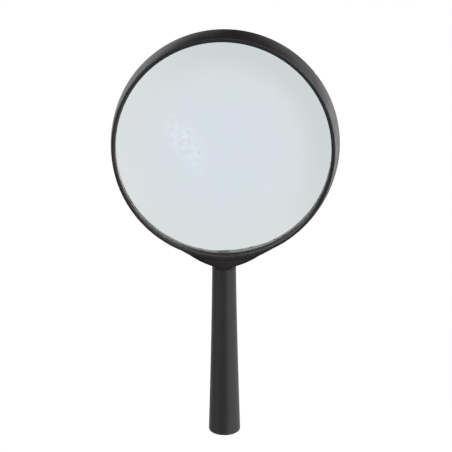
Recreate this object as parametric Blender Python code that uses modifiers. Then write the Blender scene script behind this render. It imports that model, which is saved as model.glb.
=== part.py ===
"""A hand-held magnifying glass that shows 100 mm of glass, in seven pieces.

The lens sits in a round plastic frame, between the back of its bezel and a snap-in retaining
ring. A steel stud moulded into the frame's collar screws into a brass insert in the hollow
handle, and a plug closes the handle's end. Metres, +Z up the handle, the lens looking along Y
with its front to -Y, and the origin in the middle of the handle's flat end.
"""

import math

import bmesh
import bpy

MM = 0.001

# Frame: radii and distances back from the front rim
RIM_FRONT_RADIUS = 52.0 * MM
RIM_BACK_RADIUS = 54.7 * MM
RIM_DEPTH = 17.3 * MM
RIM_WALL = 1.5 * MM
LENS_CENTRE_HEIGHT = 144.8 * MM
RIM_FRONT_EDGE = 0.35 * MM
RIM_BACK_EDGE = 0.6 * MM
BEZEL_RADIUS = 50.2 * MM
BEZEL_DEPTH = 2.5 * MM
BEZEL_ROUND = 1.0 * MM
BEAD_HEIGHT = 0.35 * MM
BEAD_FRONT = 16.3 * MM
BEAD_BACK = 16.8 * MM

# Lens: a biconvex disc, flatter in front so that it stays behind the rim
LENS_RADIUS = 51.0 * MM
LENS_EDGE = 2.3 * MM
LENS_FRONT_SURFACE = 585.0 * MM
LENS_BACK_SURFACE = 320.0 * MM
LENS_BEVEL = 0.3 * MM

# Retaining ring, pushed in behind the lens
RING_END = 15.8 * MM
RING_WALL = 0.8 * MM
RING_CORNER = 0.3 * MM

# Clearances, and how far the collar's sides start inside the rim
RIM_TUCK = 0.1 * MM
SEAT_GAP = 0.1 * MM
POCKET_GAP = 0.2 * MM
SLIDE_GAP = 0.12 * MM

# Collar between the frame and the handle: an arc seen from the front, blended into the rim.
# Heights are drops below the lens centre.
COLLAR_TOP = 40.0 * MM
COLLAR_SHOULDER = 50.0 * MM
COLLAR_BOTTOM = 58.2 * MM
COLLAR_ARC_DROP = 57.8 * MM
COLLAR_ARC_RADIUS = 29.3 * MM
COLLAR_BLEND = 9.0 * MM
COLLAR_BACK_TO_FRONT = 15.8 * MM
COLLAR_LAND = 5.85 * MM
COLLAR_LEVELS = 14
COLLAR_BUNCHING = 1.7

# Handle
HANDLE_TOP_RADIUS = 5.8 * MM
HANDLE_END_RADIUS = 7.94 * MM
HANDLE_FLARE = 1.3
HANDLE_WALL = 1.9 * MM
HANDLE_SEAM = 0.1 * MM
HANDLE_EDGE = 0.7 * MM
HANDLE_TOP_EDGE = 0.25 * MM
THROAT_RADIUS = 3.4 * MM
THROAT_LENGTH = 11.6 * MM

# M6 x 1 stud and the insert that it screws into
STUD_RADIUS = 2.95 * MM
STUD_HEAD_RADIUS = 4.2 * MM
STUD_HEAD_LENGTH = 3.0 * MM
STUD_COVER = 1.6 * MM
STUD_REACH = 9.6 * MM
STUD_CHAMFER = 0.8 * MM
INSERT_RADIUS = 4.05 * MM
INSERT_BORE = 3.05 * MM
INSERT_LENGTH = 8.0 * MM
INSERT_DEPTH = 0.3 * MM
INSERT_CHAMFER = 0.35 * MM
INSERT_GROOVE = 0.4 * MM

# Plug in the handle's end
PLUG_RADIUS = 6.2 * MM
PLUG_FLANGE = 1.4 * MM
PLUG_SPIGOT = 5.0 * MM
PLUG_WALL = 1.3 * MM
PLUG_CHAMFER = 0.2 * MM

RING_STEPS = 72
SHAFT_STEPS = 40
ARC_STEPS = 7

LENS_FRONT = BEZEL_DEPTH + SEAT_GAP
LENS_BACK = LENS_FRONT + LENS_EDGE
HANDLE_LENGTH = LENS_CENTRE_HEIGHT - COLLAR_BOTTOM - HANDLE_SEAM


def clear_scene():
    for obj in list(bpy.data.objects):
        bpy.data.objects.remove(obj, do_unlink=True)


def make_collection(name):
    collection = bpy.data.collections.new(name)
    bpy.context.scene.collection.children.link(collection)
    return collection


def make_material(name, colour, roughness, metallic=0.0, transmission=0.0):
    material = bpy.data.materials.new(name)
    material.use_nodes = True
    shader = material.node_tree.nodes["Principled BSDF"]
    shader.inputs["Base Color"].default_value = (*colour, 1.0)
    shader.inputs["Roughness"].default_value = roughness
    shader.inputs["Metallic"].default_value = metallic
    shader.inputs["Transmission Weight"].default_value = transmission
    return material


def add_object(name, mesh, collection, material=None, smooth_under=35):
    """Links a new object for the mesh, shaded smooth except where it turns sharply."""
    obj = bpy.data.objects.new(name, mesh)
    collection.objects.link(obj)
    if material:
        mesh.materials.append(material)
    mesh.shade_smooth()
    mesh.set_sharp_from_angle(angle=math.radians(smooth_under))
    return obj


def turned(name, profile, steps, collection, material=None, closed=True):
    """Turns (radius, height) points about Z. They run down the outer side, top to bottom."""
    count = len(profile)
    edges = [(i, i + 1) for i in range(count - 1)]
    if closed:
        edges.append((count - 1, 0))
    mesh = bpy.data.meshes.new(name)
    mesh.from_pydata([(radius, 0.0, height) for radius, height in profile], edges, [])
    obj = add_object(name, mesh, collection, material)
    screw = obj.modifiers.new("Screw", "SCREW")
    screw.steps = steps
    screw.render_steps = steps
    screw.use_merge_vertices = True
    screw.merge_threshold = 0.00001
    screw.use_smooth_shade = True
    return obj


def face_forward(obj):
    """Turns a piece made about Z so that its axis lies along Y at the lens, its top to the front."""
    obj.rotation_euler = (math.radians(90), 0.0, 0.0)
    obj.location = (0.0, 0.0, LENS_CENTRE_HEIGHT)


def boolean(obj, other, operation):
    modifier = obj.modifiers.new(operation.title(), "BOOLEAN")
    modifier.operation = operation
    modifier.object = other
    modifier.solver = "EXACT"
    return modifier


def hide_cutter(obj):
    obj.hide_render = True
    obj.display_type = "WIRE"


def from_front(distance):
    """Height about the ring's own axis of a place this far back from the front rim."""
    return RIM_DEPTH / 2 - distance


def rim_radius(distance):
    """The rim's outer radius, which widens towards the back."""
    return RIM_FRONT_RADIUS + (RIM_BACK_RADIUS - RIM_FRONT_RADIUS) * distance / RIM_DEPTH


def bore_radius(distance):
    """The radius of the frame's back bore, which the retaining ring slides into."""
    return rim_radius(distance) - RIM_WALL


def arc(centre, radius, start, end, steps):
    """Points round a corner, from one angle in degrees to the other."""
    points = []
    for i in range(steps + 1):
        angle = math.radians(start + (end - start) * i / steps)
        points.append((centre[0] + radius * math.cos(angle), centre[1] + radius * math.sin(angle)))
    return points


def frame_profile():
    """The rim's section: outer wall, back rim with its snap bead, lens pocket, rounded bezel."""
    back = from_front(RIM_DEPTH)
    seat = LENS_BACK + SEAT_GAP
    pocket = LENS_RADIUS + POCKET_GAP
    mouth = 0.2 * MM
    front_corner = (RIM_FRONT_RADIUS - RIM_FRONT_EDGE, from_front(RIM_FRONT_EDGE))
    back_corner = (RIM_BACK_RADIUS - RIM_BACK_EDGE, back + RIM_BACK_EDGE)
    outside = arc(front_corner, RIM_FRONT_EDGE, 90, 10, 3)
    outside += arc(back_corner, RIM_BACK_EDGE, 10, -90, 4)
    inside = [
        (bore_radius(RIM_DEPTH) + mouth / 2, back),
        (bore_radius(BEAD_FRONT) - BEAD_HEIGHT, from_front(BEAD_BACK)),
        (bore_radius(BEAD_FRONT) - BEAD_HEIGHT, from_front(BEAD_FRONT)),
        (bore_radius(BEAD_FRONT), from_front(BEAD_FRONT - BEAD_HEIGHT)),
        (bore_radius(seat), from_front(seat)),
        (pocket, from_front(seat)),
        (pocket, from_front(BEZEL_DEPTH)),
        (BEZEL_RADIUS, from_front(BEZEL_DEPTH)),
    ]
    bezel_corner = (BEZEL_RADIUS + BEZEL_ROUND, from_front(BEZEL_ROUND))
    return outside + inside + arc(bezel_corner, BEZEL_ROUND, 180, 90, 4)


def ellipse_ring(half_width, half_depth, z, count):
    return [
        (
            half_width * math.cos(2 * math.pi * i / count),
            half_depth * math.sin(2 * math.pi * i / count),
            z,
        )
        for i in range(count)
    ]


def loft(name, rings, collection):
    """A closed solid through rings of points, given from the top down."""
    bm = bmesh.new()
    rows = [[bm.verts.new(point) for point in ring] for ring in rings]
    count = len(rows[0])
    for upper, lower in zip(rows, rows[1:]):
        for i in range(count):
            j = (i + 1) % count
            bm.faces.new((upper[i], lower[i], lower[j], upper[j]))
    bm.faces.new(rows[0])
    bm.faces.new(list(reversed(rows[-1])))
    bmesh.ops.recalc_face_normals(bm, faces=bm.faces)
    mesh = bpy.data.meshes.new(name)
    bm.to_mesh(mesh)
    bm.free()
    return add_object(name, mesh, collection)


def smooth_max(a, b, blend):
    """The larger of two sizes, rounded over where they cross."""
    overlap = max(blend - abs(a - b), 0.0)
    return max(a, b) + overlap * overlap / (4 * blend)


def collar_half_width(drop):
    """Half the collar's width this far below the lens centre, blended out of the rim's circle."""
    rise = max(COLLAR_ARC_DROP - drop, 0.0)
    arc_width = math.sqrt(2 * COLLAR_ARC_RADIUS * rise - rise * rise)
    rim = rim_radius(RIM_DEPTH / 2) - RIM_TUCK
    rim_width = math.sqrt(max(rim * rim - drop * drop, 0.0))
    return max(smooth_max(arc_width, rim_width, COLLAR_BLEND), COLLAR_LAND)


def collar_half_depth(drop):
    """Half the collar's depth: nearly the rim's depth at the shoulder, and round at the handle."""
    share = min(max((drop - COLLAR_SHOULDER) / (COLLAR_BOTTOM - COLLAR_SHOULDER), 0.0), 1.0)
    bulge = math.sqrt(1 - share**2)
    return COLLAR_LAND + (COLLAR_BACK_TO_FRONT / 2 - COLLAR_LAND) * bulge


def make_collar(collection):
    """The collar's solid, whose levels bunch towards the handle, where it curves most."""
    rings = []
    for i in range(COLLAR_LEVELS + 1):
        share_left = (1 - i / COLLAR_LEVELS) ** COLLAR_BUNCHING
        drop = COLLAR_BOTTOM - (COLLAR_BOTTOM - COLLAR_TOP) * share_left
        rings.append(
            ellipse_ring(
                collar_half_width(drop), collar_half_depth(drop), LENS_CENTRE_HEIGHT - drop, 48
            )
        )
    return loft("collar", rings, collection)


def stud_levels():
    """Heights of the stud's top, the underside of its head, and its tip."""
    top = LENS_CENTRE_HEIGHT - rim_radius(RIM_DEPTH / 2) + RIM_WALL - STUD_COVER
    collar_bottom = LENS_CENTRE_HEIGHT - COLLAR_BOTTOM
    return top, top - STUD_HEAD_LENGTH, collar_bottom - STUD_REACH


def stud_profile(grow=0.0, tip=None):
    """The stud's outline from top to tip, or the hole for it when grown by the clearance."""
    top, shoulder, end = stud_levels()
    end = end if tip is None else tip
    return [
        (0.0, top + grow),
        (STUD_HEAD_RADIUS + grow, top + grow),
        (STUD_HEAD_RADIUS + grow, shoulder - grow),
        (STUD_RADIUS + grow, shoulder - grow),
        (STUD_RADIUS + grow, end + STUD_CHAMFER),
        (STUD_RADIUS + grow - STUD_CHAMFER / 2, end),
        (0.0, end),
    ]


def make_lens_frame(parts, cutters, material):
    frame = turned("lens_frame", frame_profile(), RING_STEPS, parts, material)
    face_forward(frame)
    core_margin = RIM_WALL / 2
    hole_end = LENS_CENTRE_HEIGHT - COLLAR_BOTTOM - STUD_RADIUS
    core = turned(
        "core_cutter",
        [
            (0.0, RIM_DEPTH),
            (rim_radius(-RIM_DEPTH / 2) - core_margin, RIM_DEPTH),
            (rim_radius(RIM_DEPTH * 1.5) - core_margin, -RIM_DEPTH),
            (0.0, -RIM_DEPTH),
        ],
        RING_STEPS,
        cutters,
        closed=False,
    )
    face_forward(core)
    stud_hole = turned(
        "stud_hole_cutter",
        stud_profile(SEAT_GAP, hole_end),
        SHAFT_STEPS,
        cutters,
        closed=False,
    )
    collar = make_collar(cutters)
    boolean(collar, core, "DIFFERENCE")
    boolean(frame, collar, "UNION")
    boolean(frame, stud_hole, "DIFFERENCE")
    for cutter in (core, stud_hole, collar):
        hide_cutter(cutter)
    return frame


def make_lens(parts, material):
    """Two spherical faces with a bevelled edge between them."""
    rim = LENS_RADIUS - LENS_BEVEL
    radii = [rim * i / ARC_STEPS for i in range(ARC_STEPS + 1)]

    def bulge(radius, surface):
        """How far the face stands out from its edge at this radius."""
        return math.sqrt(surface**2 - radius**2) - math.sqrt(surface**2 - rim**2)

    front = [(r, from_front(LENS_FRONT) + bulge(r, LENS_FRONT_SURFACE)) for r in radii]
    back = [(r, from_front(LENS_BACK) - bulge(r, LENS_BACK_SURFACE)) for r in reversed(radii)]
    edge = [
        (LENS_RADIUS, from_front(LENS_FRONT + LENS_BEVEL)),
        (LENS_RADIUS, from_front(LENS_BACK - LENS_BEVEL)),
    ]
    lens = turned("lens", front + edge + back, RING_STEPS, parts, material, closed=False)
    face_forward(lens)
    return lens


def make_retaining_ring(parts, material):
    """A thin sleeve that follows the back bore, from the lens's edge to the snap bead."""
    start = LENS_BACK + 2 * SEAT_GAP
    front = start + RING_CORNER
    back = RING_END - RING_CORNER

    def outer(distance):
        return bore_radius(distance) - SLIDE_GAP

    def inner(distance):
        return outer(distance) - RING_WALL

    profile = [
        (outer(start) - RING_CORNER, from_front(start)),
        (outer(front), from_front(front)),
        (outer(back), from_front(back)),
        (outer(RING_END) - RING_CORNER, from_front(RING_END)),
        (inner(RING_END) + RING_CORNER, from_front(RING_END)),
        (inner(back), from_front(back)),
        (inner(start), from_front(start)),
    ]
    ring = turned("lens_retaining_ring", profile, RING_STEPS, parts, material)
    face_forward(ring)
    return ring


def make_neck_stud(parts, material):
    return turned("neck_stud", stud_profile(), SHAFT_STEPS, parts, material, closed=False)


def handle_radius(height):
    """The handle's outer radius, which flares a little more towards the end."""
    share = 1 - height / HANDLE_LENGTH
    return HANDLE_TOP_RADIUS + (HANDLE_END_RADIUS - HANDLE_TOP_RADIUS) * share**HANDLE_FLARE


def make_handle(parts, material):
    """A hollow tapered grip: seat for the insert at the top, counterbore for the plug at the end."""
    insert_seat = INSERT_RADIUS + SEAT_GAP
    seat_bottom = HANDLE_LENGTH - INSERT_DEPTH - INSERT_LENGTH - SEAT_GAP
    throat_end = HANDLE_LENGTH - THROAT_LENGTH
    middle = HANDLE_LENGTH / 2
    plug_seat = PLUG_RADIUS + SLIDE_GAP
    plug_shoulder = PLUG_FLANGE + SEAT_GAP
    levels = 10
    top = HANDLE_LENGTH - HANDLE_TOP_EDGE
    outside = [(HANDLE_TOP_RADIUS - HANDLE_TOP_EDGE, HANDLE_LENGTH)]
    for i in range(levels + 1):
        height = top - (top - HANDLE_EDGE) * i / levels
        outside.append((handle_radius(height), height))
    corner = (HANDLE_END_RADIUS - HANDLE_EDGE, HANDLE_EDGE)
    outside += arc(corner, HANDLE_EDGE, -25, -90, 3)
    inside = [
        (plug_seat, 0.0),
        (plug_seat, plug_shoulder),
        (HANDLE_END_RADIUS - HANDLE_WALL, plug_shoulder),
        (handle_radius(middle) - HANDLE_WALL, middle),
        (handle_radius(throat_end) - HANDLE_WALL, throat_end - MM),
        (THROAT_RADIUS, throat_end),
        (THROAT_RADIUS, seat_bottom),
        (insert_seat, seat_bottom),
        (insert_seat, HANDLE_LENGTH),
    ]
    return turned("handle", outside + inside, SHAFT_STEPS, parts, material)


def make_handle_insert(parts, material):
    """A brass bush, threaded for the stud, with a groove that keys it into the handle."""
    top = HANDLE_LENGTH - INSERT_DEPTH
    bottom = top - INSERT_LENGTH
    middle = (top + bottom) / 2
    profile = [
        (INSERT_RADIUS, top),
        (INSERT_RADIUS, middle + 2 * INSERT_GROOVE),
        (INSERT_RADIUS - INSERT_GROOVE, middle + INSERT_GROOVE),
        (INSERT_RADIUS - INSERT_GROOVE, middle - INSERT_GROOVE),
        (INSERT_RADIUS, middle - 2 * INSERT_GROOVE),
        (INSERT_RADIUS, bottom + INSERT_CHAMFER),
        (INSERT_RADIUS - INSERT_CHAMFER, bottom),
        (INSERT_BORE, bottom),
        (INSERT_BORE, top - INSERT_CHAMFER),
        (INSERT_BORE + INSERT_CHAMFER, top),
    ]
    return turned("handle_insert", profile, SHAFT_STEPS, parts, material)


def make_handle_end_plug(parts, material):
    """A cup pressed into the handle's end, flush with it, whose mouth tapers to lead it in."""
    spigot = HANDLE_END_RADIUS - HANDLE_WALL - 0.25 * MM
    spigot_end = PLUG_FLANGE + PLUG_SPIGOT
    profile = [
        (0.0, PLUG_FLANGE),
        (spigot - PLUG_WALL, PLUG_FLANGE),
        (spigot - PLUG_WALL, spigot_end),
        (spigot - 2 * PLUG_CHAMFER, spigot_end),
        (spigot - PLUG_CHAMFER, spigot_end - 4 * PLUG_CHAMFER),
        (spigot, PLUG_FLANGE),
        (PLUG_RADIUS, PLUG_FLANGE),
        (PLUG_RADIUS, PLUG_CHAMFER),
        (PLUG_RADIUS - PLUG_CHAMFER, 0.0),
        (0.0, 0.0),
    ]
    return turned("handle_end_plug", profile, SHAFT_STEPS, parts, material, closed=False)


def main():
    clear_scene()
    parts = make_collection("magnifying_glass")
    cutters = make_collection("cutters")
    frame_plastic = make_material("frame_plastic", (0.022, 0.021, 0.022), 0.34)
    handle_plastic = make_material("handle_plastic", (0.031, 0.029, 0.030), 0.42)
    glass = make_material("lens_glass", (0.90, 0.96, 0.95), 0.02, transmission=1.0)
    steel = make_material("stud_steel", (0.55, 0.56, 0.58), 0.30, metallic=1.0)
    brass = make_material("insert_brass", (0.72, 0.52, 0.22), 0.32, metallic=1.0)

    frame = make_lens_frame(parts, cutters, frame_plastic)
    lens = make_lens(parts, glass)
    ring = make_retaining_ring(parts, frame_plastic)
    stud = make_neck_stud(parts, steel)
    make_handle(parts, handle_plastic)
    make_handle_insert(parts, brass)
    make_handle_end_plug(parts, handle_plastic)

    # The head turns and rises together about the handle's axis as it screws off the handle.
    screw_axis = bpy.data.objects.new("screw_axis", None)
    screw_axis.location = (0.0, 0.0, HANDLE_LENGTH)
    parts.objects.link(screw_axis)
    for piece in (frame, lens, ring, stud):
        piece.parent = screw_axis
        piece.matrix_parent_inverse = screw_axis.matrix_basis.inverted()


main()
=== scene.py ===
"""The looks of the magnifying glass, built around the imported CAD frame.

Metres, in the CAD frame: +Z up the handle, the lens looking along Y with its front to -Y.
Sizes repeat the CAD's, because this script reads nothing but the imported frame.
"""

import math

import bpy
import numpy as np
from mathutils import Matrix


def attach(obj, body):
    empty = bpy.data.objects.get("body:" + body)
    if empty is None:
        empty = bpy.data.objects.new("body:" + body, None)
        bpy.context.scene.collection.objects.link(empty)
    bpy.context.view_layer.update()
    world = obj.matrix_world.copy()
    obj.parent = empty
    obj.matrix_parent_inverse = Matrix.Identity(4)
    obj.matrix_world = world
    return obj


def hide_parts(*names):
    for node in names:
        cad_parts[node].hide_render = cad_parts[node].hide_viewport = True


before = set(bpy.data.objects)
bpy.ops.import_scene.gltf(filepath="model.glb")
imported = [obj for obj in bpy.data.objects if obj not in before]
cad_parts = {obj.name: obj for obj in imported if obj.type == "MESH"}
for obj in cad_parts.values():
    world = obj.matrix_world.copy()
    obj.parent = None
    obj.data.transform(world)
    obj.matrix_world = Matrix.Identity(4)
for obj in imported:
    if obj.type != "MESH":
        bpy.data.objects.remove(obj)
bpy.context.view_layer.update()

MM = 0.001

# Frame
RIM_FRONT = 52.0 * MM
RIM_BACK = 54.7 * MM
RIM_DEPTH = 17.3 * MM
RIM_WALL = 1.5 * MM
RIM_CROWN = 0.32 * MM
LENS_CENTRE = 144.8 * MM
FRONT_EDGE = 0.5 * MM
BACK_EDGE = 0.6 * MM
NICK_ANGLE = 129.0

# Collar: drops are below the lens centre
COLLAR_BOTTOM = 58.2 * MM
COLLAR_SHOULDER = 50.0 * MM
COLLAR_ARC_DROP = 57.8 * MM
COLLAR_ARC_RADIUS = 29.3 * MM
COLLAR_BLEND = 9.0 * MM
COLLAR_HALF_DEPTH = 7.9 * MM
COLLAR_LAND = 5.85 * MM
COLLAR_FILLET = 0.8 * MM
COLLAR_EDGE = 0.25 * MM

# Lens and retaining ring: distances are back from the front rim
BEZEL_RADIUS = 50.2 * MM
BEZEL_DEPTH = 2.5 * MM
BEZEL_ROUND = 1.0 * MM
LENS_RADIUS = 51.0 * MM
LENS_FRONT = 2.6 * MM
LENS_BACK = 4.9 * MM
LENS_FRONT_SURFACE = 585.0 * MM
LENS_BACK_SURFACE = 320.0 * MM
LENS_BEVEL = 0.3 * MM
WIDE_BEVEL_MIDDLE = 5.0
RING_START = 5.1 * MM
RING_END = 15.8 * MM
RING_WALL = 0.8 * MM

# Handle
HANDLE_LENGTH = 86.5 * MM
HANDLE_TOP = 5.8 * MM
HANDLE_END = 7.94 * MM
HANDLE_FLARE = 1.3
HANDLE_WALL = 1.9 * MM

# Stud and insert
THREAD_PITCH = 1.0 * MM
THREAD_CREST = 2.95 * MM
THREAD_DEPTH = 0.56 * MM
THREAD_GAP = 0.1 * MM
STUD_TIP = 77.0 * MM
STUD_HEAD_TOP = 91.35 * MM

# Base colours: the black plastics, then the frame's worn edges, lightened as a painted highlight,
# the painted highlight on their upper sides, the painted cool shade on the upper front face, the
# painted highlight on the bezel, and dust
FRAME_TONE = (0.059, 0.050, 0.055)
HANDLE_TONE = (0.056, 0.051, 0.053)
WORN_EDGE_AND_HIGHLIGHT = (0.10, 0.095, 0.09)
UPPER_SIDE_HIGHLIGHT = (0.25, 0.24, 0.25)
FRONT_FACE_SHADE = (0.046, 0.055, 0.064)
BEZEL_HIGHLIGHT = (0.30, 0.295, 0.29)
DUST_TONE = (0.30, 0.29, 0.28)
DUST = 0.12
EDGE_WEAR_AND_HIGHLIGHT_BAND = 0.42 * MM
GRAIN_DEPTH = 0.005 * MM

# Glass: two tints it is mottled with, then its edge, its upper right in painted shade, and the
# marks on it, with the painted shadow under the bezel
GLASS_TINTS = ((0.853, 0.896, 0.855), (0.901, 0.874, 0.899))
GLASS_EDGE_TINT = (0.891, 0.884, 0.803)
GLASS_SHADE = (0.770, 0.779, 0.722)
SMEAR_TINT = (0.93, 0.985, 0.93)
SMEAR_MIDDLE = (-17.0 * MM, 148.0 * MM)
SMEAR_TURN = -58
SMEAR_REACH = (17 * MM, 8 * MM)
GAP_SHADOW_RADIUS = 50.1 * MM
GROUND_TINTS = ((0.60, 0.63, 0.58), (0.76, 0.79, 0.73))
CHIP_AND_SHADOW_TONE = (0.03, 0.035, 0.03)
SPECK_TONE = (0.88, 0.90, 0.90)
GLASS_IOR = 1.517

# Metals: light, dark and spot colours, then roughness
STEEL_TONES = ((0.60, 0.61, 0.63), (0.42, 0.43, 0.44), (0.20, 0.19, 0.17), 0.26)
BRASS_TONES = ((0.78, 0.58, 0.28), (0.62, 0.43, 0.18), (0.25, 0.17, 0.08), 0.28)


# ---------------------------------------------------------------- node helpers


class Graph:
    """Adds nodes to a tree. An input is a socket to link or a value to set."""

    def __init__(self, tree):
        self.tree = tree

    def add(self, kind, settings=None, **inputs):
        node = self.tree.nodes.new(kind)
        for name, value in (settings or {}).items():
            setattr(node, name, value)
        for name, value in inputs.items():
            self.put(node, name.replace("_", " "), value)
        return node

    def put(self, node, name, value):
        socket = node.inputs[name]
        if isinstance(value, bpy.types.NodeSocket):
            self.tree.links.new(value, socket)
        else:
            socket.default_value = value

    def math(self, operation, *values):
        node = self.add("ShaderNodeMath", {"operation": operation})
        for i, value in enumerate(values):
            self.put(node, i, value)
        return node.outputs[0]

    def step(self, value, low, high, to_low=0.0, to_high=1.0):
        """A smooth step from to_low to to_high as the value goes from low to high."""
        node = self.add("ShaderNodeMapRange", {"interpolation_type": "SMOOTHSTEP"})
        for name, number in zip(
            ("Value", "From Min", "From Max", "To Min", "To Max"),
            (value, low, high, to_low, to_high),
        ):
            self.put(node, name, number)
        return node.outputs[0]

    def step_line(self, value, low, high):
        """A share from 0 to 1, in a straight line, as the value goes from low to high."""
        node = self.add("ShaderNodeMapRange")
        for name, number in (("Value", value), ("From Min", low), ("From Max", high)):
            self.put(node, name, number)
        return node.outputs[0]

    def mix(self, share, a, b):
        """Colour a changing to colour b as the share goes from 0 to 1."""
        node = self.add("ShaderNodeMix", {"data_type": "RGBA"})
        for i, value in ((0, share), (6, a), (7, b)):
            socket = node.inputs[i]
            if isinstance(value, bpy.types.NodeSocket):
                self.tree.links.new(value, socket)
            else:
                socket.default_value = value
        return node.outputs[2]

    def noise(self, vector, size, detail=2.0, roughness=0.5):
        """Noise from 0 to 1 whose grains are about the given size in metres."""
        node = self.add(
            "ShaderNodeTexNoise",
            Vector=vector,
            Scale=1.0 / size,
            Detail=detail,
            Roughness=roughness,
        )
        return node.outputs[0]

    def bump(self, height, distance, strength=1.0, normal=None):
        node = self.add("ShaderNodeBump", Height=height, Distance=distance, Strength=strength)
        if normal is not None:
            self.put(node, "Normal", normal)
        return node.outputs[0]


def colour(red, green, blue):
    return (red, green, blue, 1.0)


def new_material(name):
    material = bpy.data.materials.new(name)
    material.use_nodes = True
    graph = Graph(material.node_tree)
    shader = material.node_tree.nodes["Principled BSDF"]
    place = graph.add("ShaderNodeTexCoord").outputs["Object"]
    return material, graph, shader, place


def lens_axis_radius(graph, place):
    """Distance from the lens's axis, and distance back from the front rim."""
    split = graph.add("ShaderNodeSeparateXYZ", Vector=place)
    height = graph.math("SUBTRACT", split.outputs["Z"], LENS_CENTRE)
    squares = graph.math(
        "ADD",
        graph.math("MULTIPLY", split.outputs["X"], split.outputs["X"]),
        graph.math("MULTIPLY", height, height),
    )
    depth = graph.math("ADD", split.outputs["Y"], RIM_DEPTH / 2)
    return graph.math("SQRT", squares), depth


def plastic(name, tone, roughness, grain=0.5 * MM):
    """Moulded black plastic: fine grain, faint flow marks, patches of wear, a little dust."""
    material, graph, shader, place = new_material(name)
    flow = graph.noise(place, 14 * MM, 3.0, 0.55)
    wear_and_highlight = graph.noise(place, 5 * MM, 4.0, 0.6)
    fine = graph.noise(place, grain, 3.0, 0.6)
    speck = graph.noise(place, 0.35 * MM, 1.0, 0.4)
    base = graph.mix(
        flow,
        colour(*(0.82 * c for c in tone)),
        colour(*(1.18 * c for c in tone)),
    )
    dusty = graph.math(
        "MULTIPLY",
        graph.step(speck, 0.70, 0.78),
        graph.step(wear_and_highlight, 0.45, 0.7, 0.0, DUST),
    )
    base = graph.mix(dusty, base, colour(*DUST_TONE))
    graph.put(shader, "Base Color", base)
    rough = graph.math(
        "ADD",
        graph.step(wear_and_highlight, 0.3, 0.75, roughness - 0.03, roughness + 0.05),
        graph.step(fine, 0.3, 0.7, -0.015, 0.015),
    )
    graph.put(shader, "Roughness", rough)
    shader.inputs["IOR"].default_value = 1.5
    normal = graph.bump(fine, GRAIN_DEPTH)
    normal = graph.bump(wear_and_highlight, 0.02 * MM, 0.5, normal)
    graph.put(shader, "Normal", normal)
    return material, graph, shader, place, base


def frame_plastic():
    """The frame's plastic: streaks round the wall, edges scuffed with wear and lightened as a
    painted highlight, a painted cool shade on the upper front face, and a painted highlight on the
    bezel low down.
    """
    material, graph, shader, place, base = plastic("frame_plastic", FRAME_TONE, 0.25)
    radius, depth = lens_axis_radius(graph, place)
    split = graph.add("ShaderNodeSeparateXYZ", Vector=place)
    height = graph.math("SUBTRACT", split.outputs["Z"], LENS_CENTRE)
    around = graph.math("MULTIPLY", graph.math("ARCTAN2", split.outputs["X"], height), 3 * MM)
    flat = graph.add("ShaderNodeCombineXYZ", X=around, Y=depth).outputs[0]
    streaks = graph.noise(flat, 0.9 * MM, 3.0, 0.6)
    darker = colour(*(0.45 * c for c in FRAME_TONE))
    base = graph.mix(graph.step(streaks, 0.35, 0.65, 0.0, 0.5), base, darker)
    scuffs = graph.noise(place, 1.6 * MM, 4.0, 0.65)
    # Front and back edges, scuffed and lightened: wear, and also a painted highlight on the rounded
    # edges.
    front = graph.math(
        "MULTIPLY",
        graph.step(depth, EDGE_WEAR_AND_HIGHLIGHT_BAND, 0.1 * MM),
        graph.step(radius, RIM_FRONT - EDGE_WEAR_AND_HIGHLIGHT_BAND, RIM_FRONT - 0.12 * MM),
    )
    back = graph.step(depth, RIM_DEPTH - 0.45 * MM, RIM_DEPTH - 0.1 * MM)
    edge = graph.math("MAXIMUM", front, back)
    worn_edge_and_highlight = graph.math("MULTIPLY", edge, graph.step(scuffs, 0.35, 0.7, 0.25, 1.0))
    # The upper sides of these edges are lighter still: a painted highlight.
    upper_side_highlight = graph.math(
        "MULTIPLY",
        graph.step(graph.math("ABSOLUTE", split.outputs["X"]), 22 * MM, 34 * MM),
        graph.step(height, -12 * MM, 4 * MM),
    )
    wear_and_highlight = graph.mix(upper_side_highlight, colour(*WORN_EDGE_AND_HIGHLIGHT), colour(*UPPER_SIDE_HIGHLIGHT))
    # A painted cool shade on the front face, strongest towards the top.
    face = graph.math(
        "MULTIPLY",
        graph.step(depth, 0.3 * MM, 0.1 * MM),
        graph.step(height, -10 * MM, 25 * MM),
    )
    base = graph.mix(face, base, colour(*FRONT_FACE_SHADE))
    base = graph.mix(worn_edge_and_highlight, base, wear_and_highlight)
    # A painted highlight on the bezel low down, strongest at the left.
    bezel = graph.math(
        "MULTIPLY",
        graph.step(radius, BEZEL_RADIUS + 1.0 * MM, BEZEL_RADIUS + 0.5 * MM),
        graph.step(depth, BEZEL_DEPTH + 0.3 * MM, BEZEL_DEPTH),
    )
    left = graph.math(
        "MULTIPLY",
        graph.step(split.outputs["X"], -4 * MM, -34 * MM, 0.25, 1.35),
        graph.step(depth, 0.5 * MM, 1.6 * MM, 0.15, 1.0),
    )
    right = graph.step(split.outputs["X"], 4 * MM, 30 * MM, 0.2, 0.6)
    sides = graph.math("MAXIMUM", left, right)
    bezel_highlight_share = graph.math("MULTIPLY", sides, graph.step(height, -22 * MM, -34 * MM))
    base = graph.mix(graph.math("MULTIPLY", bezel, bezel_highlight_share), base, colour(*BEZEL_HIGHLIGHT))
    graph.put(shader, "Base Color", base)
    rough = graph.math(
        "ADD",
        shader.inputs["Roughness"].links[0].from_socket,
        graph.step(streaks, 0.3, 0.7, -0.04, 0.05),
    )
    graph.put(
        shader, "Roughness", graph.math("ADD", rough, graph.math("MULTIPLY", bezel, -0.01))
    )
    normal = shader.inputs["Normal"].links[0].from_socket
    lines = graph.math("MULTIPLY", streaks, graph.math("SUBTRACT", 1.0, bezel))
    graph.put(shader, "Normal", graph.bump(lines, 0.012 * MM, 1.0, normal))
    return material


def handle_plastic():
    return plastic("handle_plastic", HANDLE_TONE, 0.34, grain=0.45 * MM)[0]


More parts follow.
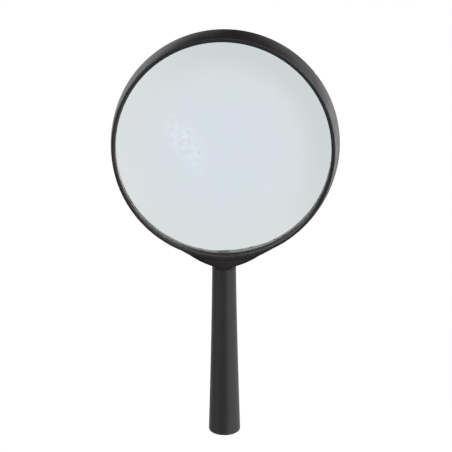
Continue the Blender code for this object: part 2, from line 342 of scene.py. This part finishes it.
def lens_glass():
    """Crown glass: a slight uneven tint, greyer at the upper right edge, a smear and specks."""
    material, graph, shader, place = new_material("lens_glass")
    tint = graph.noise(place, 13 * MM, 2.5, 0.55)
    radius, _ = lens_axis_radius(graph, place)
    split = graph.add("ShaderNodeSeparateXYZ", Vector=place)
    base = graph.mix(graph.step(tint, 0.36, 0.64), *(colour(*t) for t in GLASS_TINTS))
    near_edge = graph.step(radius, 14 * MM, 46 * MM, 0.0, 0.85)
    base = graph.mix(near_edge, base, colour(*GLASS_EDGE_TINT))
    up_right = graph.math(
        "ADD", split.outputs["X"], graph.math("SUBTRACT", split.outputs["Z"], LENS_CENTRE)
    )
    shade = graph.math(
        "MULTIPLY",
        graph.step(radius, 33 * MM, 47 * MM),
        graph.step(up_right, -15 * MM, 50 * MM, 0.0, 0.8),
    )
    base = graph.mix(shade, base, colour(*GLASS_SHADE))
    moved = graph.add("ShaderNodeVectorMath", {"operation": "ADD"})
    graph.put(moved, 0, place)
    graph.put(moved, 1, (-SMEAR_MIDDLE[0], 0.0, -SMEAR_MIDDLE[1]))
    turned = graph.add(
        "ShaderNodeVectorRotate",
        {"rotation_type": "Y_AXIS"},
        Vector=moved.outputs[0],
        Angle=math.radians(SMEAR_TURN),
    ).outputs[0]
    along = graph.add("ShaderNodeSeparateXYZ", Vector=turned)
    distance = graph.math(
        "SQRT",
        graph.math(
            "ADD",
            graph.math("POWER", graph.math("DIVIDE", along.outputs["X"], SMEAR_REACH[0]), 2.0),
            graph.math("POWER", graph.math("DIVIDE", along.outputs["Z"], SMEAR_REACH[1]), 2.0),
        ),
    )
    smear = graph.noise(place, 2.6 * MM, 5.0, 0.7)
    greasy = graph.math(
        "MULTIPLY", graph.step(distance, 1.2, 0.3), graph.step(smear, 0.47, 0.54)
    )
    base = graph.mix(greasy, base, colour(*SMEAR_TINT))
    graph.put(shader, "Base Color", base)
    shader.inputs["Transmission Weight"].default_value = 1.0
    shader.inputs["IOR"].default_value = GLASS_IOR
    shader.inputs["Roughness"].default_value = 0.0
    speck = graph.noise(place, 0.5 * MM, 1.0, 0.4)
    haze = graph.add("ShaderNodeBsdfDiffuse", Color=colour(*SPECK_TONE))
    share = graph.math("MULTIPLY", graph.step(speck, 0.74, 0.80), 0.08)
    blend = graph.add("ShaderNodeMixShader")
    output = material.node_tree.nodes["Material Output"]
    graph.put(blend, 0, share)
    material.node_tree.links.new(shader.outputs[0], blend.inputs[1])
    material.node_tree.links.new(haze.outputs[0], blend.inputs[2])
    material.node_tree.links.new(blend.outputs[0], output.inputs["Surface"])
    return material


def ground_glass():
    """The lens's ground edge: frosted, greenish, with chips, a stain, and a painted shadow under
    the bezel by the handle.
    """
    material, graph, shader, place = new_material("lens_ground_edge")
    grit = graph.noise(place, 0.25 * MM, 3.0, 0.6)
    chips = graph.noise(place, 1.4 * MM, 2.0, 0.5)
    base = graph.mix(graph.step(grit, 0.3, 0.7), *(colour(*t) for t in GROUND_TINTS))
    radius, _ = lens_axis_radius(graph, place)
    split = graph.add("ShaderNodeSeparateXYZ", Vector=place)
    ragged = graph.math("ADD", radius, graph.math("MULTIPLY", chips, 1.0 * MM))
    # A painted shadow in the gap under the bezel's lip, on the outer part of the ground bevel, low
    # down by the handle.
    gap_shadow = graph.math(
        "MULTIPLY",
        graph.step(ragged, GAP_SHADOW_RADIUS, GAP_SHADOW_RADIUS + 0.4 * MM),
        graph.math(
            "MULTIPLY",
            graph.step(split.outputs["X"], -28 * MM, -14 * MM, 0.0, 0.95),
            graph.step(split.outputs["Z"], 112 * MM, 106 * MM),
        ),
    )
    aside = graph.math("ABSOLUTE", split.outputs["X"])
    stain = graph.step(aside, 4.5 * MM, 1 * MM, 0.0, 0.6)
    marks = graph.math(
        "MULTIPLY",
        graph.math("MAXIMUM", graph.step(chips, 0.60, 0.67), stain),
        graph.math(
            "MULTIPLY",
            graph.step(aside, 36 * MM, 24 * MM),
            graph.step(split.outputs["Z"], 115 * MM, 106 * MM),
        ),
    )
    # The chips, the stain and the painted shadow all take the same dark tone.
    dark = graph.math("MAXIMUM", marks, gap_shadow)
    base = graph.mix(dark, base, colour(*CHIP_AND_SHADOW_TONE))
    graph.put(shader, "Base Color", base)
    graph.put(shader, "Roughness", graph.step(grit, 0.3, 0.7, 0.45, 0.6))
    shader.inputs["Transmission Weight"].default_value = 0.25
    shader.inputs["IOR"].default_value = GLASS_IOR
    graph.put(shader, "Normal", graph.bump(grit, 0.03 * MM))
    return material


def turned_metal(name, light, dark, spot, roughness):
    """Plated or turned metal: fine turning marks round the axis, and a few dull spots."""
    material, graph, shader, place = new_material(name)
    split = graph.add("ShaderNodeSeparateXYZ", Vector=place)
    stretched = graph.add(
        "ShaderNodeCombineXYZ",
        X=graph.math("MULTIPLY", split.outputs["X"], 0.05),
        Y=graph.math("MULTIPLY", split.outputs["Y"], 0.05),
        Z=split.outputs["Z"],
    ).outputs[0]
    lines = graph.noise(stretched, 0.08 * MM, 2.0, 0.6)
    dull = graph.noise(place, 1.1 * MM, 4.0, 0.6)
    base = graph.mix(graph.step(dull, 0.35, 0.7), colour(*light), colour(*dark))
    base = graph.mix(graph.step(dull, 0.68, 0.76), base, colour(*spot))
    graph.put(shader, "Base Color", base)
    shader.inputs["Metallic"].default_value = 1.0
    rough = graph.math(
        "ADD",
        graph.step(dull, 0.3, 0.75, roughness, roughness + 0.14),
        graph.step(lines, 0.3, 0.7, -0.04, 0.04),
    )
    graph.put(shader, "Roughness", rough)
    graph.put(shader, "Normal", graph.bump(lines, 0.006 * MM))
    return material


# ---------------------------------------------------------------- mesh helpers


def fillet(points, steps=4):
    """Rounds the corners of an open line of (radius, height, fillet radius) points."""
    line = []
    for i, (r, h, size) in enumerate(points):
        here = np.array((r, h))
        if size == 0 or i in (0, len(points) - 1):
            line.append(tuple(here))
            continue
        before = np.array(points[i - 1][:2]) - here
        after = np.array(points[i + 1][:2]) - here
        reach_before, reach_after = np.linalg.norm(before), np.linalg.norm(after)
        before, after = before / reach_before, after / reach_after
        half = math.acos(max(-1.0, min(1.0, float(before @ after)))) / 2
        reach = min(size / math.tan(half), 0.48 * reach_before, 0.48 * reach_after)
        size = reach * math.tan(half)
        middle = (before + after) / np.linalg.norm(before + after)
        centre = here + middle * size / math.sin(half)
        first, last = here + before * reach - centre, here + after * reach - centre
        sweep = math.pi - 2 * half
        for k in range(steps + 1):
            t = k / steps
            point = (
                math.sin((1 - t) * sweep) * first + math.sin(t * sweep) * last
            ) / math.sin(sweep)
            line.append(tuple(centre + point))
    return line


def mesh_object(name, points, faces, materials, smooth_under=32):
    mesh = bpy.data.meshes.new(name)
    mesh.from_pydata(points, [], faces)
    for material in materials:
        mesh.materials.append(material)
    mesh.validate()
    mesh.shade_smooth()
    mesh.set_sharp_from_angle(angle=math.radians(smooth_under))
    obj = bpy.data.objects.new(name, mesh)
    bpy.context.scene.collection.objects.link(obj)
    return obj


def swept_faces(rows, count, closed):
    """Quads between rows of count points each. The rows close on themselves, as round a ring."""
    faces = []
    last = count if closed else count - 1
    for i in range(rows):
        a, b = i * count, ((i + 1) % rows) * count
        for j in range(last):
            k = (j + 1) % count
            faces.append((a + j, b + j, b + k, a + k))
    return faces


def facing_out(obj):
    """Turns all faces over when the closed mesh's volume comes out negative."""
    mesh = obj.data
    mesh.calc_loop_triangles()
    corners = np.empty(len(mesh.loop_triangles) * 3, np.int32)
    mesh.loop_triangles.foreach_get("vertices", corners)
    points = np.empty(len(mesh.vertices) * 3, np.float32)
    mesh.vertices.foreach_get("co", points)
    points = points.reshape(-1, 3).astype(float)
    points -= points.mean(axis=0)
    if np.linalg.det(points[corners.reshape(-1, 3)]).sum() < 0:
        mesh.flip_normals()
    return obj


def about_handle(radius, height, angle):
    return (radius * math.cos(angle), radius * math.sin(angle), height)


def about_lens(radius, depth, angle):
    """A place this far from the lens's axis and back from the front rim, from the handle round."""
    return (
        radius * math.sin(angle),
        depth - RIM_DEPTH / 2,
        LENS_CENTRE - radius * math.cos(angle),
    )


def revolve(name, profile, angles, place, materials, closed=True, shape=None):
    """Turns a line of (radius, height) points through the angles.

    An end on the axis becomes a pole. shape gives the radius at a height and an angle.
    """
    start_pole = not closed and profile[0][0] == 0
    end_pole = not closed and profile[-1][0] == 0
    line = profile[1 if start_pole else 0 : len(profile) - (1 if end_pole else 0)]
    points = []
    for angle in angles:
        for radius, height in line:
            if shape:
                radius = shape(radius, height, angle)
            points.append(place(radius, height, angle))
    rows, count = len(angles), len(line)
    faces = swept_faces(rows, count, closed)
    for is_pole, (radius, height), column in (
        (start_pole, profile[0], 0),
        (end_pole, profile[-1], count - 1),
    ):
        if is_pole:
            pole = len(points)
            points.append(place(radius, height, 0.0))
            for i in range(rows):
                a, b = i * count + column, ((i + 1) % rows) * count + column
                faces.append((pole, b, a) if column == 0 else (pole, a, b))
    return facing_out(mesh_object(name, points, faces, materials))


def even_angles(count):
    return [2 * math.pi * i / count for i in range(count)]


def rim_radius(depth):
    """The rim's outer radius: a cone that widens towards the back, very slightly crowned."""
    share = depth / RIM_DEPTH
    return RIM_FRONT + (RIM_BACK - RIM_FRONT) * share + 4 * RIM_CROWN * share * (1 - share)


def bore_radius(depth):
    return RIM_FRONT + (RIM_BACK - RIM_FRONT) * depth / RIM_DEPTH - RIM_WALL


# ---------------------------------------------------------------- the frame


def smooth_min(a, b, blend):
    overlap = np.maximum(blend - np.abs(a - b), 0.0)
    return np.minimum(a, b) - overlap * overlap / (4 * blend)


def collar_half_width(drop):
    rise = np.maximum(COLLAR_ARC_DROP - drop, 0.0)
    arc = np.sqrt(np.maximum(2 * COLLAR_ARC_RADIUS * rise - rise * rise, 0.0))
    rim = (RIM_FRONT + RIM_BACK) / 2 - 0.1 * MM
    width = np.sqrt(np.maximum(rim * rim - drop * drop, 0.0))
    return np.maximum(-smooth_min(-arc, -width, COLLAR_BLEND), COLLAR_LAND)


def collar_half_depth(drop):
    share = np.clip((drop - COLLAR_SHOULDER) / (COLLAR_BOTTOM - COLLAR_SHOULDER), 0.0, 1.0)
    return COLLAR_LAND + (COLLAR_HALF_DEPTH - COLLAR_LAND) * np.sqrt(1 - share**2)


def outside_distance(radius, depth, angle):
    """Roughly how far a place is outside the rim and collar: below 0 is inside."""
    across = radius * np.sin(angle)
    drop = radius * np.cos(angle)
    along = depth - RIM_DEPTH / 2
    half_width, half_depth = collar_half_width(drop), collar_half_depth(drop)
    size = np.sqrt((across / half_width) ** 2 + (along / half_depth) ** 2) + 1e-9
    slope = np.sqrt((across / half_width**2) ** 2 + (along / half_depth**2) ** 2) / size
    side = (size - 1) / (slope + 1e-9)
    collar = -smooth_min(-side, -(drop - COLLAR_BOTTOM), COLLAR_EDGE)
    fade = np.clip((drop - 45 * MM) / (6 * MM), 0.0, 1.0)
    blend = 0.05 * MM + (COLLAR_FILLET - 0.05 * MM) * fade * fade * (3 - 2 * fade)
    return smooth_min(radius - rim_radius(depth), collar, blend)


def outer_line(angle, count):
    """The frame's outer side at this angle, from front to back, as evenly spaced points."""
    depth = np.linspace(FRONT_EDGE, RIM_DEPTH - BACK_EDGE, 420)
    if abs(math.degrees(angle)) > 52:
        radius = rim_radius(depth)
    else:
        low = np.full_like(depth, 51 * MM)
        high = np.full_like(depth, 61 * MM)
        for _ in range(24):
            middle = (low + high) / 2
            inside = outside_distance(middle, depth, angle) < 0
            low = np.where(inside, middle, low)
            high = np.where(inside, high, middle)
        radius = (low + high) / 2
    length = np.concatenate([[0.0], np.cumsum(np.hypot(np.diff(depth), np.diff(radius)))])
    at = np.linspace(0.0, length[-1], count)
    return list(zip(np.interp(at, length, radius), np.interp(at, length, depth)))


def corner_arc(centre, size, start, end, steps):
    """Points of a quarter round in (radius, depth), by angle in degrees from straight out."""
    line = []
    for i in range(steps + 1):
        angle = math.radians(start + (end - start) * i / steps)
        line.append((centre[0] + size * math.cos(angle), centre[1] + size * math.sin(angle)))
    return line


def inner_line():
    """The frame's inner side from back to front: snap bead, lens seat, rounded bezel."""
    bead = bore_radius(16.3 * MM) - 0.35 * MM
    corners = [
        (RIM_BACK - 1.0 * MM, RIM_DEPTH, 0.0),
        (bore_radius(RIM_DEPTH) + 0.1 * MM, RIM_DEPTH, 0.15 * MM),
        (bead, 16.8 * MM, 0.2 * MM),
        (bead, 16.3 * MM, 0.2 * MM),
        (bore_radius(16.0 * MM), 15.95 * MM, 0.1 * MM),
        (bore_radius(5.0 * MM), 5.0 * MM, 0.03 * MM),
        (51.2 * MM, 5.0 * MM, 0.03 * MM),
        (51.2 * MM, BEZEL_DEPTH, 0.05 * MM),
        (BEZEL_RADIUS, BEZEL_DEPTH, 0.12 * MM),
        (BEZEL_RADIUS, 1.2 * MM, 0.0),
    ]
    round_middle = (BEZEL_RADIUS + BEZEL_ROUND, BEZEL_ROUND)
    return fillet(corners, 3) + corner_arc(round_middle, BEZEL_ROUND, 180, 270, 8)


def frame_angles():
    """Angles from the handle round: close together at the collar and the nick, wider elsewhere."""
    half = list(np.arange(0.0, 9.0, 0.25))
    half += list(np.arange(9.0, 52.0, 0.6))
    half += list(np.linspace(52.0, 180.0, 108))
    around = half + [-a for a in reversed(half[1:-1])]
    near = [a for a in around if abs(a - NICK_ANGLE) < 1.4]
    around = [a for a in around if a not in near]
    around += list(np.linspace(NICK_ANGLE - 1.2, NICK_ANGLE + 1.2, 17))
    return [math.radians(a) for a in sorted(around, key=lambda a: a % 360)]


def nicked(radius, depth, angle):
    """Takes a small nick out of the back edge at the upper right."""
    off = (math.degrees(angle) - NICK_ANGLE) / 0.75
    if abs(off) >= 1 or radius < RIM_BACK - 1.2 * MM:
        return radius
    share = min(max((depth - (RIM_DEPTH - 1.3 * MM)) / (0.5 * MM), 0.0), 1.0)
    return radius - 0.55 * MM * share * (1 - off**4)


def make_frame(material):
    inner = inner_line()
    angles = frame_angles()
    points = []
    for angle in angles:
        outer = outer_line(abs(angle), 64)
        front, back = outer[0][0], outer[-1][0]
        line = corner_arc((front - FRONT_EDGE, FRONT_EDGE), FRONT_EDGE, -90, -15, 4)
        line += outer
        line += corner_arc((back - BACK_EDGE, RIM_DEPTH - BACK_EDGE), BACK_EDGE, 12, 90, 5)
        line += inner
        for radius, depth in line:
            points.append(about_lens(nicked(radius, depth, angle), depth, angle))
        count = len(line)
    faces = swept_faces(len(angles), count, True)
    frame_piece = facing_out(mesh_object("frame_moulding", points, faces, [material], 38))
    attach(frame_piece, "head")
    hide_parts("lens_frame")


def make_ring(material):
    """The retaining sleeve, which follows the back bore: rounded edges and a plain inner wall."""

    def outer(depth):
        return bore_radius(depth) - 0.12 * MM

    corners = [
        (outer(RING_START) - RING_WALL / 2, RING_START, 0.0),
        (outer(RING_START), RING_START, 0.3 * MM),
        (outer(RING_END), RING_END, 0.3 * MM),
        (outer(RING_END) - RING_WALL, RING_END, 0.35 * MM),
        (outer(RING_START) - RING_WALL, RING_START, 0.12 * MM),
        (outer(RING_START) - RING_WALL * 0.6, RING_START, 0.0),
    ]
    ring = revolve("retaining_sleeve", fillet(corners), even_angles(288), about_lens, [material])
    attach(ring, "head")
    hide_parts("lens_retaining_ring")


def sag(radius, surface):
    return surface - math.sqrt(surface**2 - radius**2)


def wide_bevel(angle):
    """The front bevel's extra width: it was ground wide and uneven beside the handle."""
    off = (math.degrees(angle) - WIDE_BEVEL_MIDDLE + 180) % 360 - 180
    ripple = math.sin(9 * angle) + 0.6 * math.sin(23 * angle + 1.0) + 0.4 * math.sin(51 * angle)
    broad = max(0.0, math.cos(math.radians(off) * 90 / 88)) ** 0.55 if abs(off) < 88 else 0.0
    peak = math.exp(-(((off - 5) / 31) ** 2))
    return ((1.5 + 0.05 * ripple) * broad + (1.05 + 0.08 * ripple) * peak) * MM


def make_lens(glass, ground):
    """Two spherical faces and a ground edge, whose front bevel is wide beside the handle."""
    steps = 40
    bevel_steps = 4
    rim = LENS_RADIUS - LENS_BEVEL
    front_bulge, back_bulge = sag(rim, LENS_FRONT_SURFACE), sag(rim, LENS_BACK_SURFACE)
    angles = even_angles(360)
    points = []
    for angle in angles:
        wide = wide_bevel(angle)
        inner = rim - wide
        line = [inner * math.sin(math.pi / 2 * i / steps) for i in range(1, steps + 1)]
        line = [(r, LENS_FRONT - front_bulge + sag(r, LENS_FRONT_SURFACE)) for r in line]
        start = line[-1][1]
        edge_front = LENS_FRONT + LENS_BEVEL + 0.4 * wide
        for i in range(1, bevel_steps + 1):
            share = i / bevel_steps
            chip = 0.05 * MM * math.sin(67 * angle + 5 * i) * math.sin(math.pi * share)
            line.append(
                (
                    inner + (LENS_RADIUS - inner) * share,
                    start + (edge_front - start) * share**1.3 + chip,
                )
            )
        line.append((LENS_RADIUS, LENS_BACK - LENS_BEVEL))
        back = [rim * math.sin(math.pi / 2 * i / steps) for i in range(steps, 0, -1)]
        line += [(r, LENS_BACK + back_bulge - sag(r, LENS_BACK_SURFACE)) for r in back]
        points += [about_lens(radius, depth, angle) for radius, depth in line]
        count = len(line)
    faces = swept_faces(len(angles), count, False)
    for column, depth in ((0, LENS_FRONT - front_bulge), (count - 1, LENS_BACK + back_bulge)):
        pole = len(points)
        points.append(about_lens(0.0, depth, 0.0))
        for i in range(len(angles)):
            a, b = i * count + column, ((i + 1) % len(angles)) * count + column
            faces.append((pole, b, a) if column == 0 else (pole, a, b))
    lens = mesh_object("lens_disc", points, faces, [glass, ground], 12)
    swept = len(angles) * (count - 1)
    first, last = steps - 1, steps + bevel_steps
    for face in lens.data.polygons[:swept]:
        column = face.index % (count - 1)
        face.material_index = 1 if first <= column <= last else 0
    facing_out(lens)
    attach(lens, "head")
    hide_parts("lens")


# ---------------------------------------------------------------- handle and fixings


def handle_radius(height):
    share = 1 - height / HANDLE_LENGTH
    return HANDLE_TOP + (HANDLE_END - HANDLE_TOP) * share**HANDLE_FLARE


def handle_angles():
    """Even steps, with a few extra beside the two parting lines at the handle's sides."""
    angles = list(np.arange(0.0, 360.0, 2.5))
    for side in (0.0, 180.0):
        angles += [(side + offset) % 360 for offset in (-1.0, -0.5, 0.5, 1.0)]
    return [math.radians(a) for a in sorted(angles)]


def parting_line(radius, height, angle):
    """A faint raised line where the two halves of the mould met."""
    if radius < handle_radius(min(max(height, 0.0), HANDLE_LENGTH)) - 0.9 * MM:
        return radius
    off = abs(math.degrees(math.asin(min(1.0, abs(math.sin(angle))))))
    ends = min(max((height - 1.2 * MM) / MM, 0.0), max((85.3 * MM - height) / MM, 0.0), 1.0)
    return radius + 0.03 * MM * max(0.0, 1 - off / 1.0) * ends


def make_handle(material):
    levels = 56
    outside = [(5.0 * MM, HANDLE_LENGTH, 0.0), (HANDLE_TOP, HANDLE_LENGTH, 0.25 * MM)]
    for i in range(1, levels):
        height = HANDLE_LENGTH * (1 - i / levels)
        outside.append((handle_radius(height), height, 0.0))
    outside += [
        (HANDLE_END, 0.0, 0.7 * MM),
        (6.32 * MM, 0.0, 0.12 * MM),
        (6.32 * MM, 1.5 * MM, 0.05 * MM),
        (HANDLE_END - HANDLE_WALL, 1.5 * MM, 0.1 * MM),
        (handle_radius(HANDLE_LENGTH / 2) - HANDLE_WALL, HANDLE_LENGTH / 2, 0.0),
        (handle_radius(74.9 * MM) - HANDLE_WALL, 73.9 * MM, 0.3 * MM),
        (3.4 * MM, 74.9 * MM, 0.3 * MM),
        (3.4 * MM, 78.1 * MM, 0.05 * MM),
        (4.15 * MM, 78.1 * MM, 0.05 * MM),
        (4.15 * MM, HANDLE_LENGTH, 0.15 * MM),
        (4.6 * MM, HANDLE_LENGTH, 0.0),
    ]
    handle = revolve(
        "handle_grip",
        fillet(outside),
        handle_angles(),
        about_handle,
        [material],
        shape=parting_line,
    )
    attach(handle, "handle")
    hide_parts("handle")


def make_plug(material):
    """The end plug: a flush disc with a gate mark in a shallow ring, and a hollow spigot."""
    spigot = HANDLE_END - HANDLE_WALL - 0.25 * MM
    profile = [
        (0.0, 0.16 * MM, 0.0),
        (0.35 * MM, 0.16 * MM, 0.05 * MM),
        (0.45 * MM, 0.32 * MM, 0.05 * MM),
        (1.1 * MM, 0.32 * MM, 0.08 * MM),
        (1.3 * MM, 0.0, 0.08 * MM),
        (6.0 * MM, 0.0, 0.1 * MM),
        (6.2 * MM, 0.2 * MM, 0.1 * MM),
        (6.2 * MM, 1.4 * MM, 0.1 * MM),
        (spigot, 1.4 * MM, 0.1 * MM),
        (spigot - 0.2 * MM, 5.6 * MM, 0.2 * MM),
        (spigot - 0.4 * MM, 6.4 * MM, 0.15 * MM),
        (spigot - 1.3 * MM, 6.4 * MM, 0.15 * MM),
        (spigot - 1.3 * MM, 1.4 * MM, 0.3 * MM),
        (0.0, 1.4 * MM, 0.0),
    ]
    plug = revolve(
        "end_plug", fillet(profile, 3), even_angles(96), about_handle, [material], closed=False
    )
    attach(plug, "handle")
    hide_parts("handle_end_plug")


def thread_radius(height, angle):
    """The stud's M6 x 1 right-hand thread: 60 degree flanks, flat crests, rounded roots."""
    phase = (height / THREAD_PITCH - angle / (2 * math.pi)) % 1.0
    off_crest = abs(phase - 0.5) * 2
    cut = min(max((0.88 - off_crest) / 0.78, 0.0), 1.0)
    return THREAD_CREST - THREAD_DEPTH * (1 - math.cos(math.pi * cut)) / 2


def make_stud(material):
    """The steel stud: threaded shank with a chamfered tip, and a knurled head inside the collar."""
    neck = 86.55 * MM
    steps = 154
    profile = [(0.0, STUD_TIP)]
    profile += [(1.8 * MM, STUD_TIP)]
    profile += [
        (THREAD_CREST, STUD_TIP + (neck - STUD_TIP) * i / steps) for i in range(steps + 1)
    ]
    profile += [
        (THREAD_CREST, 88.3 * MM),
        (4.1 * MM, 88.35 * MM),
        (4.2 * MM, 88.5 * MM),
        (4.2 * MM, STUD_HEAD_TOP - 0.2 * MM),
        (4.0 * MM, STUD_HEAD_TOP),
        (0.0, STUD_HEAD_TOP),
    ]

    def shape(radius, height, angle):
        if radius < 2 * MM:
            return radius
        if height > 88.32 * MM:
            return radius - 0.06 * MM * (1 + math.cos(36 * angle))
        taper = 2.35 * MM + max(height - STUD_TIP, 0.0)
        fade = min(max((height - 86.0 * MM) / (0.5 * MM), 0.0), 1.0)
        threaded = thread_radius(height, angle)
        return min(taper, threaded + (THREAD_CREST - threaded) * fade)

    stud = revolve(
        "threaded_stud", profile, even_angles(72), about_handle, [material], False, shape
    )
    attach(stud, "head")
    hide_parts("neck_stud")


def make_insert(material):
    """The brass insert: straight knurl in two bands, groove between them, internal thread."""
    top, bottom = 86.2 * MM, 78.2 * MM
    middle = (top + bottom) / 2
    steps = 128
    profile = [
        (4.0 * MM, top),
        (4.05 * MM, top - 0.1 * MM),
        (4.05 * MM, middle + 0.8 * MM),
        (3.65 * MM, middle + 0.4 * MM),
        (3.65 * MM, middle - 0.4 * MM),
        (4.05 * MM, middle - 0.8 * MM),
        (4.05 * MM, bottom + 0.35 * MM),
        (3.7 * MM, bottom),
    ]
    profile += [(3.05 * MM, bottom + (top - bottom) * i / steps) for i in range(steps + 1)]

    def shape(radius, height, angle):
        if radius > 4.04 * MM:
            return radius - 0.08 * MM * (1 + math.cos(24 * angle))
        if radius > 3.1 * MM:
            return radius
        lead = max(3.4 * MM - (top - height), 3.4 * MM - (height - bottom))
        return max(lead, thread_radius(height, angle) + THREAD_GAP)

    insert = revolve(
        "threaded_insert", profile, even_angles(96), about_handle, [material], True, shape
    )
    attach(insert, "handle")
    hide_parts("handle_insert")


# ---------------------------------------------------------------- studio

# Light from behind, by elevation in degrees: (elevation, strength)
BEHIND = (
    (-50, 0.03),
    (50, 0.0),
    (-30, 0.08),
    (-20, 0.16),
    (-12, 0.25),
    (-4, 0.30),
    (5, 0.29),
    (12, 0.24),
    (17, 0.19),
    (21, 0.10),
    (25, 0.02),
)
# Soft panels: strength, then azimuths and elevations in degrees, then how soft each way
PANELS = (
    (0.93, 27, 95, -45, 52, 34, 16),
    (0.72, 80, 140, -45, 45, 24, 16),
    (0.76, 134, 165, -26, 7, 9, 14),
    (0.36, 146, 170, 0, 20, 6, 6),
    (0.55, -171, -142, -26, 17, 12, 9),
    (0.45, -148, -112, -45, 20, 18, 16),
    (0.30, -125, -60, -45, 25, 20, 16),
    (0.47, -78, -32, -45, 52, 24, 16),
    (0.20, -50, 50, -65, -12, 30, 10),
    (0.90, -75, 62, 50, 76, 20, 10),
)
# The same for panels seen only in the bezel, by way of the glass, and the light between them
BEZEL_PANELS = (
    (2.30, 120, 169, -9, 18, 12, 14),
    (1.90, -168, -110, -12, 8, 8, 12),
)
BEZEL_LIGHT = 0.55
# Darker patches of the light behind: degrees aside, elevations, and how much is taken away
LOW_HOLE = (168, 175, 3, -4, 0.55)
DIM_MIDDLE = (173, 178, 8, 15, 0.85)
# The light that the camera sees straight through the glass
THROUGH_GLASS = (0.842, 0.887, 0.975)

# Camera: focal length in mm on a 36 mm sensor, place in metres, turn in degrees
CAMERA_LENS = 84.79
CAMERA_PLACE = (0.03354, -0.49073, 0.24602)
CAMERA_TURN = (74.198, 0.112, 3.766)


def make_world():
    """A white studio: bright behind and low, with soft panels round the object.

    The camera itself sees plain white, and what it sees straight through the glass is even.
    """
    world = bpy.data.worlds.new("studio")
    bpy.context.scene.world = world
    world.use_nodes = True
    tree = world.node_tree
    graph = Graph(tree)
    background = tree.nodes["Background"]
    direction = graph.add("ShaderNodeTexCoord").outputs["Generated"]
    split = graph.add("ShaderNodeSeparateXYZ", Vector=direction)
    degrees = 180 / math.pi
    azimuth = graph.math(
        "MULTIPLY",
        graph.math("ARCTAN2", split.outputs["X"], graph.math("MULTIPLY", split.outputs["Y"], -1.0)),
        degrees,
    )
    elevation = graph.math("MULTIPLY", graph.math("ARCSINE", split.outputs["Z"]), degrees)

    def panel(strength, left, right, low, high, soft_across, soft_up):
        """A soft-edged panel of light between two azimuths and two elevations."""
        share = strength
        for value, edge, soft, sign in (
            (azimuth, left, soft_across, 1),
            (azimuth, right, soft_across, -1),
            (elevation, low, soft_up, 1),
            (elevation, high, soft_up, -1),
        ):
            step = graph.step(value, edge - sign * soft / 2, edge + sign * soft / 2)
            share = graph.math("MULTIPLY", step, share)
        return share

    rise = graph.add("ShaderNodeValToRGB", Fac=graph.step_line(elevation, -50, 50))
    stops = rise.color_ramp.elements
    for i, (height, strength) in enumerate(BEHIND):
        place = (height + 50) / 100
        stop = stops[i] if i < 2 else stops.new(place)
        stop.position = place
        stop.color = colour(strength, strength, strength)
    turned_away = graph.math("ABSOLUTE", azimuth)
    light = graph.math("MULTIPLY", graph.step(turned_away, 92, 128), rise.outputs[0])
    for near, far, start, end, most in (LOW_HOLE, DIM_MIDDLE):
        taken = graph.math(
            "MULTIPLY",
            graph.step(turned_away, near, far),
            graph.step(elevation, start, end, 0.0, most),
        )
        light = graph.math("MULTIPLY", light, graph.math("SUBTRACT", 1.0, taken))
    for numbers in PANELS:
        light = graph.math("MAXIMUM", light, panel(*numbers))
    light = graph.math("ADD", light, graph.step(turned_away, 150, 110, 0.004, 0.03))
    path = graph.add("ShaderNodeLightPath")
    in_bezel = graph.math(
        "MULTIPLY",
        path.outputs["Is Transmission Ray"],
        graph.math("GREATER_THAN", path.outputs["Glossy Depth"], 0.5),
    )
    extra = graph.step(turned_away, 100, 130, 0.0, BEZEL_LIGHT)
    for numbers in BEZEL_PANELS:
        extra = graph.math("MAXIMUM", extra, panel(*numbers))
    light = graph.math("ADD", light, graph.math("MULTIPLY", in_bezel, extra))
    studio = graph.add("ShaderNodeCombineColor", Red=light, Green=light, Blue=light).outputs[0]
    bounces = graph.math("ADD", path.outputs["Glossy Depth"], path.outputs["Diffuse Depth"])
    straight = graph.math(
        "MULTIPLY", path.outputs["Is Transmission Ray"], graph.math("LESS_THAN", bounces, 0.5)
    )
    shown = graph.mix(straight, studio, colour(*THROUGH_GLASS))
    shown = graph.mix(path.outputs["Is Camera Ray"], shown, colour(1.0, 1.0, 1.0))
    graph.put(background, "Color", shown)
    background.inputs["Strength"].default_value = 1.0


def make_floor():
    """A plain pale floor under the handle's end."""
    material = bpy.data.materials.new("pale_floor")
    material.use_nodes = True
    tree = material.node_tree
    graph = Graph(tree)
    tree.nodes.remove(tree.nodes["Principled BSDF"])
    glow = graph.add("ShaderNodeEmission", Color=colour(1.0, 1.0, 1.0), Strength=0.99)
    matt = graph.add("ShaderNodeBsdfDiffuse", Color=colour(0.05, 0.05, 0.05))
    both = graph.add("ShaderNodeAddShader")
    tree.links.new(glow.outputs[0], both.inputs[0])
    tree.links.new(matt.outputs[0], both.inputs[1])
    tree.links.new(both.outputs[0], tree.nodes["Material Output"].inputs["Surface"])
    size = 3.0
    level = -0.2 * MM
    corners = [(size * x, size * y, level) for x, y in ((-1, -1), (1, -1), (1, 1), (-1, 1))]
    floor = mesh_object("floor", corners, [(0, 1, 2, 3)], [material])
    for ray in ("diffuse", "glossy", "transmission", "shadow"):
        setattr(floor, "visible_" + ray, False)


def make_camera():
    """Set at the front, a little right of centre and above the lens, aimed at the neck."""
    data = bpy.data.cameras.new("camera")
    data.sensor_width = 36.0
    data.lens = CAMERA_LENS
    data.clip_start = 0.01
    camera = bpy.data.objects.new("camera", data)
    bpy.context.scene.collection.objects.link(camera)
    camera.location = CAMERA_PLACE
    camera.rotation_euler = tuple(math.radians(a) for a in CAMERA_TURN)
    bpy.context.scene.camera = camera


def main():
    black = frame_plastic()
    grip = handle_plastic()
    make_frame(black)
    make_ring(plastic("ring_plastic", FRAME_TONE, 0.34)[0])
    make_lens(lens_glass(), ground_glass())
    make_handle(grip)
    make_plug(plastic("plug_plastic", HANDLE_TONE, 0.36)[0])
    make_stud(turned_metal("stud_steel", *STEEL_TONES))
    make_insert(turned_metal("insert_brass", *BRASS_TONES))
    make_world()
    make_floor()
    make_camera()
    bpy.context.scene.view_settings.view_transform = "Standard"


main()
